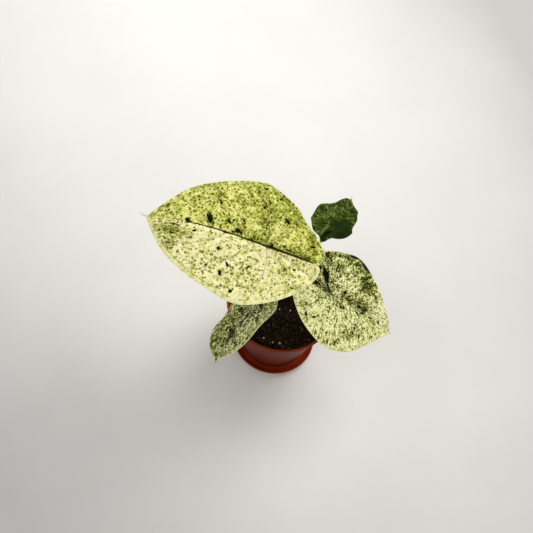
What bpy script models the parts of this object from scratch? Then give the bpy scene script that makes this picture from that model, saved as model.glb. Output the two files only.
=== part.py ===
"""Potted alocasia: four variegated leaves on one short stem, in a nursery pot that stands in a saucer.

Metres, +Z up. The origin is the centre of the saucer's flat underside.
Each leaf blade is a flat outline, bent down along its midrib and arched across it, then carried
on the end of its own stalk. The stalks rise from sockets in the crown of the stem, and the stem
stands in a plain hole in the soil.
"""
from math import cos, pi, radians, sin

import bmesh
import bpy
import numpy as np
from mathutils import Matrix, Vector

# Gap between pieces that touch
SEAT_GAP = 0.0003
ROUND_SIDES = 64
AXIS_MERGE = 0.00005

# Saucer: a shallow turned dish
SAUCER_RADIUS = 0.0486
SAUCER_HEIGHT = 0.0080
SAUCER_FOOT_RADIUS = 0.0430
SAUCER_WALL = 0.0015

# Pot: a thin tapered wall with a small lip, on a foot ring
POT_RIM_RADIUS = 0.0600
POT_RIM_HEIGHT = 0.1000
POT_BASE_RADIUS = 0.0372
POT_WALL = 0.0015
LIP_HEIGHT = 0.0035
LIP_STAND = 0.0012
FOOT_HEIGHT = 0.0025
FOOT_WIDTH = 0.0040
DRAIN_HOLES = 6
DRAIN_HOLE_RADIUS = 0.0035
DRAIN_HOLE_SIDES = 16
DRAIN_CIRCLE_RADIUS = 0.0220
POT_BOTTOM = SAUCER_WALL + SEAT_GAP
POT_FLOOR_TOP = POT_BOTTOM + FOOT_HEIGHT + POT_WALL
POT_TAPER = (POT_RIM_RADIUS - LIP_STAND - POT_BASE_RADIUS) / (POT_RIM_HEIGHT - POT_BOTTOM)

# Soil: fills the pot nearly to its lip, with a crumbly top
SOIL_BELOW_LIP = 0.0060
SOIL_TOP_RINGS = 9
CRUMB_HEIGHT = 0.0009
CRUMB_SEED = 7
SOIL_LEVEL = POT_RIM_HEIGHT - SOIL_BELOW_LIP

# Stem: the crown of a short corm, mostly buried
STEM_CENTRE = Vector((-0.003, 0.016, 0.0))
CROWN_RADIUS = 0.0114
STEM_RADIUS = 0.0102
STEM_ABOVE_SOIL = 0.0150
STEM_BURIED = 0.0420
STEM_SIDES = 40
STEM_SHOULDER = 0.0010
STEM_END_TAPER = 0.0050
CROWN_DOME = 0.0035
STEM_BOTTOM = SOIL_LEVEL - STEM_BURIED
CROWN_TOP = SOIL_LEVEL + STEM_ABOVE_SOIL
SOCKET_CIRCLE_RADIUS = 0.0061
SOCKET_DEPTH = 0.0070
SOCKET_CLEARANCE = 0.0005
SOCKET_SIDES = 20

# Stalks: upright in the socket and just above it, then one sweep out to the blade
NECK_RISE = 0.0020
STALK_UPRIGHT_SHARE = 0.38
STALK_TURN_IN = 0.0060
STALK_SIDE_RESOLUTION = 4
STALK_LENGTH_STEPS = 12

# Blades
DRIP_TIP_LENGTH = 0.0120
BLADE_THICKNESS = 0.0009
RIB_DEPTH = 0.0015
CREASE_WIDTH = 0.0015
STEPS_PER_SPAN = 2
BLADE_RINGS = (0.08, 0.20, 0.34, 0.49, 0.64, 0.79, 0.91, 1.0)
BEND_STEPS = 24

# Each leaf, largest first.
# junction: where the stalk meets the blade. heading: way the midrib points, degrees from +X.
# pitch: degrees that the tip points down there. roll: degrees that the left half is lifted.
# left, right: outline from the drip tip round to the notch, as (along the midrib, out to the side).
# tip_droop, base_droop: degrees that the midrib has bent down by each end.
# sweep: its bend sideways, per metre. hook: how far the drip tip turns to the left.
# fold: degrees that both halves rise from the midrib. arch: how fast they curve back down, per metre.
# stalk_angle: where its socket lies in the crown. stalk_approach: its last stretch, up to the blade.
LEAVES = (
    dict(
        junction=(-0.0267, -0.0096, 0.2250), heading=175.7, pitch=-14.1, roll=-6.9,
        left=((0.1250, 0), (0.1170, 0.0012), (0.1100, 0.0115), (0.0920, 0.0335), (0.0660, 0.0515),
              (0.0360, 0.0620), (0.0100, 0.0655), (-0.0160, 0.0545), (-0.0380, 0.0385),
              (-0.0530, 0.0200), (-0.0570, 0.0080), (-0.0555, 0.0020), (-0.0520, 0)),
        right=((0.1250, 0), (0.1170, 0.0014), (0.1100, 0.0100), (0.0880, 0.0330), (0.0590, 0.0505),
               (0.0250, 0.0630), (0.0080, 0.0640), (-0.0150, 0.0540), (-0.0390, 0.0340),
               (-0.0550, 0.0190), (-0.0580, 0.0090), (-0.0555, 0.0020), (-0.0520, 0)),
        tip_droop=37.0, base_droop=5.0, sweep=0.43, hook=-0.0045, fold=5.0,
        arch=3.0, wave=0.0008, waves=9,
        stalk_angle=150, stalk_radii=(0.0036, 0.0024), stalk_approach=(-0.010, -0.028, 0.036),
    ),
    dict(
        junction=(0.0456, -0.0117, 0.1600), heading=-6.9, pitch=32.7, roll=11.0,
        left=((0.0990, 0), (0.0925, 0.0015), (0.0840, 0.0110), (0.0720, 0.0220), (0.0470, 0.0410),
              (0.0180, 0.0520), (0.0000, 0.0485), (-0.0230, 0.0380), (-0.0380, 0.0260),
              (-0.0460, 0.0130), (-0.0465, 0.0060), (-0.0440, 0.0015), (-0.0400, 0)),
        right=((0.0990, 0), (0.0925, 0.0015), (0.0840, 0.0105), (0.0620, 0.0320), (0.0440, 0.0470),
               (0.0210, 0.0535), (-0.0030, 0.0505), (-0.0270, 0.0375), (-0.0400, 0.0245),
               (-0.0465, 0.0130), (-0.0465, 0.0060), (-0.0440, 0.0015), (-0.0400, 0)),
        tip_droop=14.4, base_droop=5.4, sweep=0.22, hook=0.0, fold=5.0,
        arch=3.0, wave=0.0008, waves=7,
        stalk_angle=330, stalk_radii=(0.0034, 0.0022), stalk_approach=(0.032, -0.010, 0.018),
    ),
    dict(
        junction=(-0.0349, -0.0353, 0.1450), heading=246.5, pitch=9.3, roll=51.6,
        left=((0.0720, 0), (0.0655, 0.0015), (0.0600, 0.0120), (0.0540, 0.0255), (0.0430, 0.0340),
              (0.0240, 0.0420), (0.0020, 0.0495), (-0.0110, 0.0440), (-0.0230, 0.0335),
              (-0.0330, 0.0195), (-0.0370, 0.0085), (-0.0355, 0.0020), (-0.0320, 0)),
        right=((0.0720, 0), (0.0655, 0.0015), (0.0610, 0.0100), (0.0520, 0.0265), (0.0350, 0.0385),
               (0.0200, 0.0370), (0.0030, 0.0375), (-0.0110, 0.0345), (-0.0230, 0.0280),
               (-0.0330, 0.0180), (-0.0370, 0.0085), (-0.0355, 0.0020), (-0.0320, 0)),
        tip_droop=17.0, base_droop=6.8, sweep=0.0, hook=0.0, fold=5.0,
        arch=6.0, wave=0.0010, waves=6,
        stalk_angle=240, stalk_radii=(0.0030, 0.0019), stalk_approach=(-0.023, -0.021, 0.017),
    ),
    dict(
        junction=(0.0342, 0.0595, 0.1750), heading=60.5, pitch=4.1, roll=-3.7,
        left=((0.0500, 0), (0.0450, 0.0014), (0.0410, 0.0080), (0.0350, 0.0115), (0.0300, 0.0135),
              (0.0260, 0.0185), (0.0200, 0.0225), (0.0080, 0.0240), (-0.0040, 0.0220),
              (-0.0110, 0.0170), (-0.0170, 0.0090), (-0.0195, 0.0040), (-0.0185, 0)),
        right=((0.0500, 0), (0.0450, 0.0014), (0.0420, 0.0060), (0.0380, 0.0130), (0.0280, 0.0175),
               (0.0210, 0.0215), (0.0130, 0.0225), (0.0050, 0.0265), (-0.0040, 0.0250),
               (-0.0100, 0.0165), (-0.0160, 0.0130), (-0.0220, 0.0080), (-0.0185, 0)),
        tip_droop=18.0, base_droop=3.3, sweep=0.0, hook=0.0050, fold=5.0,
        arch=3.0, wave=0.0024, waves=7,
        stalk_angle=60, stalk_radii=(0.0028, 0.0017), stalk_approach=(0.010, 0.020, 0.028),
    ),
)


def material(name, colour, roughness):
    finish = bpy.data.materials.new(name)
    finish.use_nodes = True
    shader = finish.node_tree.nodes["Principled BSDF"]
    shader.inputs["Base Color"].default_value = (*colour, 1.0)
    shader.inputs["Roughness"].default_value = roughness
    shader.inputs["Metallic"].default_value = 0.0
    return finish


def add_object(name, mesh, finish):
    piece = bpy.data.objects.new(name, mesh)
    mesh.materials.append(finish)
    bpy.context.collection.objects.link(piece)
    return piece


def turned(name, profile, finish, sides=ROUND_SIDES):
    """A body of revolution: profile runs from the axis inside, over the top and down the outer side."""
    mesh = bpy.data.meshes.new(name)
    points = [(radius, 0.0, height) for radius, height in profile]
    mesh.from_pydata(points, [(i, i + 1) for i in range(len(points) - 1)], [])
    piece = add_object(name, mesh, finish)
    spin = piece.modifiers.new("Turned", "SCREW")
    spin.steps = sides
    spin.render_steps = sides
    spin.use_merge_vertices = True
    spin.merge_threshold = AXIS_MERGE
    spin.use_smooth_shade = True
    return piece


def cut(piece, cutter):
    cutter.hide_render = True
    cutter.display_type = "WIRE"
    opening = piece.modifiers.new("Cut", "BOOLEAN")
    opening.operation = "DIFFERENCE"
    opening.solver = "EXACT"
    opening.object = cutter


def upright_cylinders(name, centres, radius, bottom, top, sides):
    """One cutter made of separate upright cylinders."""
    mesh = bpy.data.meshes.new(name)
    drum = bmesh.new()
    for centre in centres:
        place = Matrix.Translation((centre[0], centre[1], (bottom + top) / 2))
        bmesh.ops.create_cone(
            drum, cap_ends=True, segments=sides, radius1=radius, radius2=radius,
            depth=top - bottom, matrix=place,
        )
    drum.to_mesh(mesh)
    drum.free()
    cutter = bpy.data.objects.new(name, mesh)
    bpy.context.collection.objects.link(cutter)
    return cutter


def on_circle(radius, angle):
    return Vector((radius * cos(angle), radius * sin(angle), 0.0))


def saucer(finish):
    floor = SAUCER_WALL
    lip = SAUCER_WALL / 2
    profile = (
        (0.0, floor),
        (SAUCER_FOOT_RADIUS - SAUCER_WALL, floor),
        (SAUCER_RADIUS - SAUCER_WALL, SAUCER_HEIGHT - lip),
        (SAUCER_RADIUS - lip, SAUCER_HEIGHT),
        (SAUCER_RADIUS, SAUCER_HEIGHT - lip),
        (SAUCER_FOOT_RADIUS + lip, lip),
        (SAUCER_FOOT_RADIUS, 0.0),
        (0.0, 0.0),
    )
    return turned("saucer", profile, finish)


def pot_inner_radius(height):
    return POT_BASE_RADIUS + POT_TAPER * (height - POT_BOTTOM) - POT_WALL


def pot(finish):
    lip_bottom = POT_RIM_HEIGHT - LIP_HEIGHT
    rounding = LIP_STAND / 2
    profile = (
        (0.0, POT_FLOOR_TOP),
        (pot_inner_radius(POT_FLOOR_TOP), POT_FLOOR_TOP),
        (pot_inner_radius(POT_RIM_HEIGHT - rounding), POT_RIM_HEIGHT - rounding),
        (pot_inner_radius(POT_RIM_HEIGHT) + rounding, POT_RIM_HEIGHT),
        (POT_RIM_RADIUS - rounding, POT_RIM_HEIGHT),
        (POT_RIM_RADIUS, POT_RIM_HEIGHT - rounding),
        (POT_RIM_RADIUS - rounding / 2, lip_bottom),
        (pot_inner_radius(lip_bottom) + POT_WALL, lip_bottom - rounding),
        (POT_BASE_RADIUS, POT_BOTTOM),
        (POT_BASE_RADIUS - FOOT_WIDTH, POT_BOTTOM),
        (POT_BASE_RADIUS - FOOT_WIDTH, POT_BOTTOM + FOOT_HEIGHT),
        (0.0, POT_BOTTOM + FOOT_HEIGHT),
    )
    body = turned("pot", profile, finish)
    centres = [on_circle(DRAIN_CIRCLE_RADIUS, 2 * pi * i / DRAIN_HOLES) for i in range(DRAIN_HOLES)]
    drill = upright_cylinders(
        "drain_drill", centres, DRAIN_HOLE_RADIUS, POT_BOTTOM, POT_FLOOR_TOP + POT_WALL,
        DRAIN_HOLE_SIDES,
    )
    cut(body, drill)
    return body


def ring(centre, radius, height, lift=None):
    """Points of a level circle, each raised by its own lift."""
    angles = np.arange(ROUND_SIDES) * 2 * pi / ROUND_SIDES
    points = np.empty((ROUND_SIDES, 3))
    points[:, 0] = centre[0] + radius * np.cos(angles)
    points[:, 1] = centre[1] + radius * np.sin(angles)
    points[:, 2] = height
    if lift is not None:
        points[:, 2] += lift
    return points


def soil(finish):
    """A plug that fills the pot, with a rough top and a plain hole for the stem.

    The rings of its top grow from the hole to the pot's wall, so they also move from the
    stem's centre to the pot's.
    """
    draw = np.random.default_rng(CRUMB_SEED)
    hole_radius = STEM_RADIUS + SEAT_GAP
    floor = POT_FLOOR_TOP + SEAT_GAP
    edge_radius = pot_inner_radius(SOIL_LEVEL) - SEAT_GAP
    floor_radius = pot_inner_radius(floor) - SEAT_GAP
    middle = Vector((0.0, 0.0, 0.0))
    rings = [ring(middle, floor_radius, floor), ring(middle, edge_radius, SOIL_LEVEL - CRUMB_HEIGHT)]
    for i in range(1, SOIL_TOP_RINGS):
        share = 1 - i / SOIL_TOP_RINGS
        centre = STEM_CENTRE.lerp(middle, share)
        radius = hole_radius + (edge_radius - hole_radius) * share
        crumbs = draw.uniform(-CRUMB_HEIGHT, CRUMB_HEIGHT, ROUND_SIDES)
        rings.append(ring(centre, radius, SOIL_LEVEL, crumbs))
    rings.append(ring(STEM_CENTRE, hole_radius, SOIL_LEVEL))
    rings.append(ring(STEM_CENTRE, hole_radius, STEM_BOTTOM - SEAT_GAP))

    body = bmesh.new()
    loops = [[body.verts.new(point) for point in points] for points in rings]
    for lower, upper in zip(loops, loops[1:]):
        for j in range(ROUND_SIDES):
            k = (j + 1) % ROUND_SIDES
            body.faces.new((lower[j], lower[k], upper[k]))
            body.faces.new((lower[j], upper[k], upper[j]))
    body.faces.new(loops[0][::-1])
    body.faces.new(loops[-1])
    mesh = bpy.data.meshes.new("soil")
    body.to_mesh(mesh)
    body.free()
    return add_object("soil", mesh, finish)


def stem(finish):
    """The corm: a plain shank in the soil under a rounded crown, with a socket for each stalk."""
    profile = (
        (0.0, CROWN_TOP + CROWN_DOME),
        (0.0035, CROWN_TOP + 0.0030),
        (0.0075, CROWN_TOP + 0.0005),
        (CROWN_RADIUS - 0.0012, CROWN_TOP - 0.0030),
        (CROWN_RADIUS, CROWN_TOP - 0.0065),
        (CROWN_RADIUS - 0.0005, CROWN_TOP - 0.0095),
        (STEM_RADIUS, SOIL_LEVEL + STEM_SHOULDER),
        (STEM_RADIUS, STEM_BOTTOM + 2 * STEM_END_TAPER),
        (STEM_RADIUS - STEM_END_TAPER, STEM_BOTTOM),
        (0.0, STEM_BOTTOM),
    )
    body = turned("stem", profile, finish, STEM_SIDES)
    body.location = STEM_CENTRE
    for i, leaf in enumerate(LEAVES):
        foot = stalk_foot(leaf)
        drill = upright_cylinders(
            f"socket_drill_{i + 1}", [foot], leaf["stalk_radii"][0] + SOCKET_CLEARANCE,
            foot.z - SEAT_GAP, CROWN_TOP + 2 * CROWN_DOME, SOCKET_SIDES,
        )
        cut(body, drill)
    return body


def stalk_foot(leaf):
    foot = STEM_CENTRE + on_circle(SOCKET_CIRCLE_RADIUS, radians(leaf["stalk_angle"]))
    foot.z = CROWN_TOP - SOCKET_DEPTH
    return foot


def leaf_turn(leaf):
    return (
        Matrix.Rotation(radians(leaf["heading"]), 3, "Z")
        @ Matrix.Rotation(radians(leaf["pitch"]), 3, "Y")
        @ Matrix.Rotation(radians(leaf["roll"]), 3, "X")
    )


def stalk(number, leaf, finish):
    """A tapering stalk that meets the blade square, a seat gap below its midrib."""
    turn = leaf_turn(leaf)
    foot = stalk_foot(leaf)
    neck = foot + Vector((0.0, 0.0, SOCKET_DEPTH + NECK_RISE))
    under = BLADE_THICKNESS / 2 + RIB_DEPTH + SEAT_GAP
    top = Vector(leaf["junction"]) - turn @ Vector((0.0, 0.0, under))
    turn_in = turn @ Vector((0.0, 0.0, STALK_TURN_IN))
    near = top - turn_in
    rise = Vector((0.0, 0.0, STALK_UPRIGHT_SHARE * (top - neck).length))
    step_up = Vector((0.0, 0.0, NECK_RISE))
    approach = Vector(leaf["stalk_approach"])
    foot_radius, top_radius = leaf["stalk_radii"]

    curve = bpy.data.curves.new(f"petiole_{number}", "CURVE")
    curve.dimensions = "3D"
    curve.bevel_depth = 1.0
    curve.bevel_resolution = STALK_SIDE_RESOLUTION
    curve.use_fill_caps = True
    curve.resolution_u = STALK_LENGTH_STEPS
    line = curve.splines.new("BEZIER")
    knots = (
        (foot, step_up, step_up, foot_radius),
        (neck, step_up, rise, foot_radius),
        (near, approach, turn_in / 3, top_radius),
        (top, turn_in / 3, turn_in / 3, top_radius),
    )
    line.bezier_points.add(len(knots) - 1)
    for point, (place, behind, ahead, radius) in zip(line.bezier_points, knots):
        point.co = place
        point.handle_left_type = "FREE"
        point.handle_right_type = "FREE"
        point.handle_left = place - behind
        point.handle_right = place + ahead
        point.radius = radius
    piece = bpy.data.objects.new(f"petiole_{number}", curve)
    curve.materials.append(finish)
    bpy.context.collection.objects.link(piece)
    return piece


def smooth_span(before, start, end, after, share):
    """A Catmull-Rom span from start to end."""
    return 0.5 * (
        2 * start
        + (end - before) * share
        + (2 * before - 5 * start + 4 * end - after) * share**2
        + (3 * start - before - 3 * end + after) * share**3
    )


def half_outline(points, side):
    """One margin, from the drip tip to just before the notch, with side +1 for left."""
    corners = np.array(points) * (1.0, side)
    padded = np.vstack((corners[0], corners, corners[-1]))
    line = []
    for i in range(len(corners) - 1):
        for step in range(STEPS_PER_SPAN):
            line.append(smooth_span(*padded[i:i + 4], step / STEPS_PER_SPAN))
    line.append(corners[-1])
    return np.array(line)


def blade_points(leaf, flat, ring_share, angle):
    """Bends flat points (along, across) into the blade's middle surface, around its junction."""
    along = flat[:, 0]
    across = flat[:, 1]
    ahead = along >= 0
    reach = np.where(ahead, leaf["left"][0][0], -leaf["left"][-1][0])
    droop = np.where(ahead, radians(leaf["tip_droop"]), radians(leaf["base_droop"]))
    distance = np.abs(along)
    shares = (np.arange(BEND_STEPS) + 0.5) / BEND_STEPS
    slopes = droop[:, None] * (distance[:, None] * shares / reach[:, None]) ** 2
    forward = np.sign(along) * distance * np.cos(slopes).mean(axis=1)
    drop = distance * np.sin(slopes).mean(axis=1)
    end_slope = droop * (distance / reach) ** 2

    out = np.sqrt(across**2 + CREASE_WIDTH**2) - CREASE_WIDTH
    fold = radians(leaf["fold"])
    lean = fold - leaf["arch"] * out
    sideways = (np.sin(fold) - np.sin(lean)) / leaf["arch"]
    rise = (np.cos(lean) - np.cos(fold)) / leaf["arch"]
    rise = rise + leaf["wave"] * ring_share**3 * np.sin(leaf["waves"] * angle)

    into_tip = np.clip(along - leaf["left"][0][0] + DRIP_TIP_LENGTH, 0, None) / DRIP_TIP_LENGTH
    hook = leaf["hook"] * into_tip**2

    points = np.empty((len(flat), 3))
    points[:, 0] = forward + rise * np.sign(along) * np.sin(end_slope)
    points[:, 1] = np.sign(across) * sideways + leaf["sweep"] * along * distance + hook
    points[:, 2] = rise * np.cos(end_slope) - drop
    return points


def blade(number, leaf, finish):
    """Rays from the junction to the outline, crossed by rings; both faces share one split."""
    left = half_outline(leaf["left"], 1)
    right = half_outline(leaf["right"], -1)
    outline = np.vstack((left, right[-2:0:-1]))
    rays = len(outline)
    angles = np.arctan2(outline[:, 1], outline[:, 0])

    flat = [np.zeros((1, 2))]
    ring_share = [np.zeros(1)]
    ray_angle = [np.zeros(1)]
    for share in BLADE_RINGS:
        flat.append(outline * share)
        ring_share.append(np.full(rays, share))
        ray_angle.append(angles)
    flat = np.vstack(flat)
    ring_share = np.concatenate(ring_share)
    middle = blade_points(leaf, flat, ring_share, np.concatenate(ray_angle))

    faces = []
    for j in range(rays):
        faces.append((0, 1 + j, 1 + (j + 1) % rays))
    for i in range(len(BLADE_RINGS) - 1):
        inner = 1 + i * rays
        outer = inner + rays
        for j in range(rays):
            k = (j + 1) % rays
            faces.append((inner + j, outer + j, outer + k))
            faces.append((inner + j, outer + k, inner + k))
    faces = np.array(faces)

    corners = middle[faces]
    face_normals = np.cross(corners[:, 1] - corners[:, 0], corners[:, 2] - corners[:, 0])
    normals = np.zeros_like(middle)
    for corner in range(3):
        np.add.at(normals, faces[:, corner], face_normals)
    normals /= np.linalg.norm(normals, axis=1)[:, None]

    on_midrib = np.abs(flat[:, 1]) < 1e-9
    rib = np.where(on_midrib, RIB_DEPTH * (1 - ring_share) ** 0.7, 0.0)
    top = middle + normals * BLADE_THICKNESS / 2
    bottom = middle - normals * (BLADE_THICKNESS / 2 + rib)[:, None]

    count = len(middle)
    rim = 1 + (len(BLADE_RINGS) - 1) * rays
    turn = leaf_turn(leaf)
    place = Vector(leaf["junction"])
    body = bmesh.new()
    verts = [body.verts.new(turn @ Vector(point) + place) for point in np.vstack((top, bottom))]
    for a, b, c in faces:
        body.faces.new((verts[a], verts[b], verts[c]))
        body.faces.new((verts[count + c], verts[count + b], verts[count + a]))
    for j in range(rays):
        k = (j + 1) % rays
        body.faces.new((verts[rim + k], verts[rim + j], verts[count + rim + j]))
        body.faces.new((verts[rim + k], verts[count + rim + j], verts[count + rim + k]))
    mesh = bpy.data.meshes.new(f"leaf_{number}")
    body.to_mesh(mesh)
    body.free()
    mesh.shade_smooth()
    return add_object(f"leaf_{number}", mesh, finish)


def main():
    for piece in list(bpy.data.objects):
        bpy.data.objects.remove(piece)
    terracotta = material("terracotta_plastic", (0.34, 0.06, 0.02), 0.35)
    saucer_plastic = material("saucer_plastic", (0.30, 0.05, 0.02), 0.35)
    compost = material("compost", (0.025, 0.016, 0.011), 0.95)
    corm = material("corm", (0.24, 0.20, 0.10), 0.80)
    stalk_skin = material("stalk_skin", (0.38, 0.48, 0.16), 0.45)
    cream_leaf = material("cream_leaf", (0.66, 0.70, 0.30), 0.40)
    dark_leaf = material("dark_leaf", (0.07, 0.13, 0.03), 0.35)

    saucer(saucer_plastic)
    pot(terracotta)
    soil(compost)
    stem(corm)
    for i, leaf in enumerate(LEAVES):
        stalk(i + 1, leaf, stalk_skin)
        youngest = i == len(LEAVES) - 1
        blade(i + 1, leaf, dark_leaf if youngest else cream_leaf)


main()
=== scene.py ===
import math

import bpy
import numpy as np
from mathutils import Matrix, Vector, noise


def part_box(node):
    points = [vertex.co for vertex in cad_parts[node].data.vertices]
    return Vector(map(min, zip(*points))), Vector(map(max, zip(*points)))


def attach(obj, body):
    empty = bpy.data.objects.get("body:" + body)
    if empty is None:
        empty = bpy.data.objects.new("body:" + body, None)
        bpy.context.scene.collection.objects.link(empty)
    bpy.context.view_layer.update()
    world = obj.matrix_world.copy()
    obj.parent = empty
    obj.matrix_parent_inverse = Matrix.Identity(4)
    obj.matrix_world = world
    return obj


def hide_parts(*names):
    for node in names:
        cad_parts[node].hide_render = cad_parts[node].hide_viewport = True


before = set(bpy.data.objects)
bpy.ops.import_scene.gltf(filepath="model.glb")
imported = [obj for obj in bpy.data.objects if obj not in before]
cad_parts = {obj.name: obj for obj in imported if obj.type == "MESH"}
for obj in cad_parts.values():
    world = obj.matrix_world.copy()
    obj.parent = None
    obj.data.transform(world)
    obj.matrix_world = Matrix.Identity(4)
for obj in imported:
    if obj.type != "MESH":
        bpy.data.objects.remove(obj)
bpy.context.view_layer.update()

# Camera: a 50 mm lens that looks down on the plant from the front, rolled ten degrees, as a
# hand-held picture is. The pot's lip sits right of and below the middle of the frame.
def linked(name, data):
    """A new object in the scene."""
    made = bpy.data.objects.new(name, data)
    bpy.context.scene.collection.objects.link(made)
    return made


view_elevation = math.radians(60.5)
view_roll = math.radians(10.0)
view_distance = 0.808
lip_right_of_middle = 0.0166
lip_below_middle = 0.0378
lip_centre = Vector((0.0, 0.0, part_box("pot")[1].z))
look = Vector((0.0, math.cos(view_elevation), -math.sin(view_elevation)))
level_right = Vector((1.0, 0.0, 0.0))
level_up = level_right.cross(look)
right = level_right * math.cos(view_roll) + level_up * math.sin(view_roll)
up = level_up * math.cos(view_roll) - level_right * math.sin(view_roll)
eye = lip_centre - look * view_distance - right * lip_right_of_middle + up * lip_below_middle
camera = linked("camera", bpy.data.cameras.new("camera"))
camera.data.lens = 50.0
camera.data.sensor_width = 36.0
camera.data.clip_start = 0.05
camera.matrix_world = Matrix.Translation(eye) @ Matrix((right, up, -look)).transposed().to_4x4()
bpy.context.scene.camera = camera
bpy.context.scene.view_settings.view_transform = "Standard"


# Floor and light: a broad pale floor, painted paler towards the back left and darker towards the front
# and right as a painted falloff of light, and painted lighter under the plant; a large soft light high
# at the back right, a weaker one at the front left, and an even pale surround.
class Wire:
    """A node's output. Plus, minus, times and the like each add a Math node."""

    def __init__(self, coat, socket):
        self.coat = coat
        self.socket = socket

    def maths(self, operation, *values):
        return self.coat.node("ShaderNodeMath", {"operation": operation}, dict(enumerate(values)))

    def __add__(self, other):
        return self.maths("ADD", self, other)

    def __sub__(self, other):
        return self.maths("SUBTRACT", self, other)

    def __rsub__(self, other):
        return self.maths("SUBTRACT", other, self)

    def __mul__(self, other):
        return self.maths("MULTIPLY", self, other)

    def __pow__(self, other):
        return self.maths("POWER", self, other)

    def __abs__(self):
        return self.maths("ABSOLUTE", self)

    __radd__ = __add__
    __rmul__ = __mul__

    def most(self, other):
        return self.maths("MAXIMUM", self, other)

    def least(self, other):
        return self.maths("MINIMUM", self, other)

    def above(self, low, high):
        """0 up to low, 1 from high, smooth in between."""
        sockets = {0: self, 1: low, 2: high, 3: 0.0, 4: 1.0}
        return self.coat.node("ShaderNodeMapRange", {"interpolation_type": "SMOOTHSTEP"}, sockets)

    def below(self, low, high):
        """1 up to low, 0 from high."""
        return 1.0 - self.above(low, high)


class Coat:
    """A material, built up towards its Principled shader."""

    def __init__(self, name):
        self.material = bpy.data.materials.new(name)
        self.material.use_nodes = True
        self.tree = self.material.node_tree
        self.shader = self.tree.nodes["Principled BSDF"]

    def connect(self, socket, value):
        if isinstance(value, Wire):
            self.tree.links.new(value.socket, socket)
        else:
            socket.default_value = value

    def node(self, kind, settings, sockets, out=0):
        """One node: its settings first, then a value or a wire for each of its sockets."""
        made = self.tree.nodes.new(kind)
        for name, value in settings.items():
            if name == "stops":
                for i, (spot, colour) in enumerate(value):
                    stop = made.color_ramp.elements[i] if i < 2 else made.color_ramp.elements.new(spot)
                    stop.position = spot
                    stop.color = colour
            else:
                setattr(made, name, value)
        for key, value in sockets.items():
            self.connect(made.inputs[key], value)
        return Wire(self, made.outputs[out])

    def mix(self, share, first, second, blend="MIX"):
        """Two colours mixed by a share from 0 to 1."""
        settings = {"data_type": "RGBA", "blend_type": blend}
        return self.node("ShaderNodeMix", settings, {0: share, 6: first, 7: second}, 2)

    def ramp(self, value, stops):
        """A colour for each value, from (value, colour) stops in rising order."""
        return self.node("ShaderNodeValToRGB", {"stops": stops}, {0: value})

    def place(self):
        """Where a point lies on the object, in metres."""
        return self.node("ShaderNodeTexCoord", {}, {}, 3)

    def written(self, name):
        """A vector that the mesh holds for each of its points."""
        return self.node("ShaderNodeAttribute", {"attribute_name": name}, {}, 1)

    def split(self, vector):
        parts = self.node("ShaderNodeSeparateXYZ", {}, {0: vector}).socket.node
        return [Wire(self, parts.outputs[i]) for i in range(3)]

    def joined(self, x, y, z=0.0):
        return self.node("ShaderNodeCombineXYZ", {}, {0: x, 1: y, 2: z})

    def cloud(self, place, scale, detail=2.0, rough=0.5):
        """Soft noise around a half."""
        sockets = {"Vector": place, "Scale": scale, "Detail": detail, "Roughness": rough}
        return self.node("ShaderNodeTexNoise", {}, sockets)

    def cells(self, place, scale):
        """The distance from the nearest of many scattered middles."""
        return self.node("ShaderNodeTexVoronoi", {}, {"Vector": place, "Scale": scale})

    def bump(self, height, depth):
        return self.node("ShaderNodeBump", {}, {"Strength": 1.0, "Distance": depth, "Height": height})

    def finish(self, **sockets):
        """Sets the shader's own sockets and returns the material."""
        for name, value in sockets.items():
            self.connect(self.shader.inputs[name.replace("_", " ")], value)
        return self.material


def tint(red, green, blue):
    """A colour given as it shows on a screen, from 0 to 255."""
    return (*(((c / 255 + 0.055) / 1.055) ** 2.4 for c in (red, green, blue)), 1.0)


floor_width = 6.0
painted_falloff_even = 0.695
painted_falloff_across, painted_falloff_back = -0.061, 0.443
painted_falloff_across_twice, painted_falloff_corner, painted_falloff_back_twice = -0.988, -1.103, -0.596
darkest_tone, palest_tone = 0.45, 0.94
under_plant = (-0.02, -0.05)
painted_light_under_plant = 0.09
bpy.ops.object.select_all(action="DESELECT")
bpy.ops.mesh.primitive_plane_add(size=floor_width)
floor = bpy.context.object
floor.name = "floor"
coat = Coat("pale_floor")
place = coat.place()
x, y, z = coat.split(place)
drift = (coat.cloud(place, 6.0, 4.0, 0.55) - 0.5) * 0.10 + (coat.cloud(place, 2.2) - 0.5) * 0.06
# Painted falloff of light: the floor's colour is paler towards the back left and darker towards the front
# and right.
level = x * painted_falloff_across + y * painted_falloff_back + x * x * painted_falloff_across_twice + x * y * painted_falloff_corner
level = level + y * y * painted_falloff_back_twice + painted_falloff_even + drift
# Painted light: the floor is painted paler under the plant, where its shade falls.
near = ((x - under_plant[0]) ** 2.0 + (y - under_plant[1]) ** 2.0) ** 0.5
level = level + near.below(0.03, 0.24) * painted_light_under_plant
tone = coat.mix(level.most(darkest_tone).least(palest_tone), tint(0, 0, 0), tint(255, 253, 248))
floor.data.materials.append(coat.finish(Base_Color=tone, Roughness=0.7))

for name, spot, size, power, colour in (
    ("key", (0.85, 0.95, 1.60), 1.3, 28.0, (1.0, 0.99, 0.97)),
    ("fill", (-1.2, -0.6, 1.5), 1.6, 5.0, (0.97, 0.985, 1.0)),
):
    lamp = bpy.data.lights.new(name, "AREA")
    lamp.shape = "SQUARE"
    lamp.size = size
    lamp.energy = power
    lamp.color = colour
    light = linked(name, lamp)
    light.location = spot
    light.rotation_euler = (lip_centre - Vector(spot)).to_track_quat("-Z", "Y").to_euler()
surround = bpy.data.worlds.new("surround")
surround.use_nodes = True
surround.node_tree.nodes["Background"].inputs["Color"].default_value = (1.0, 1.0, 1.0, 1.0)
surround.node_tree.nodes["Background"].inputs["Strength"].default_value = 0.62
bpy.context.scene.world = surround


# Saucer: a shallow dish of brick-red plastic, moulded in one piece, which stands loose on the
# floor. Its wall leans out from a flat foot to a rounded edge.
bpy.context.tool_settings.mesh_select_mode = (False, False, True)


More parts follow.
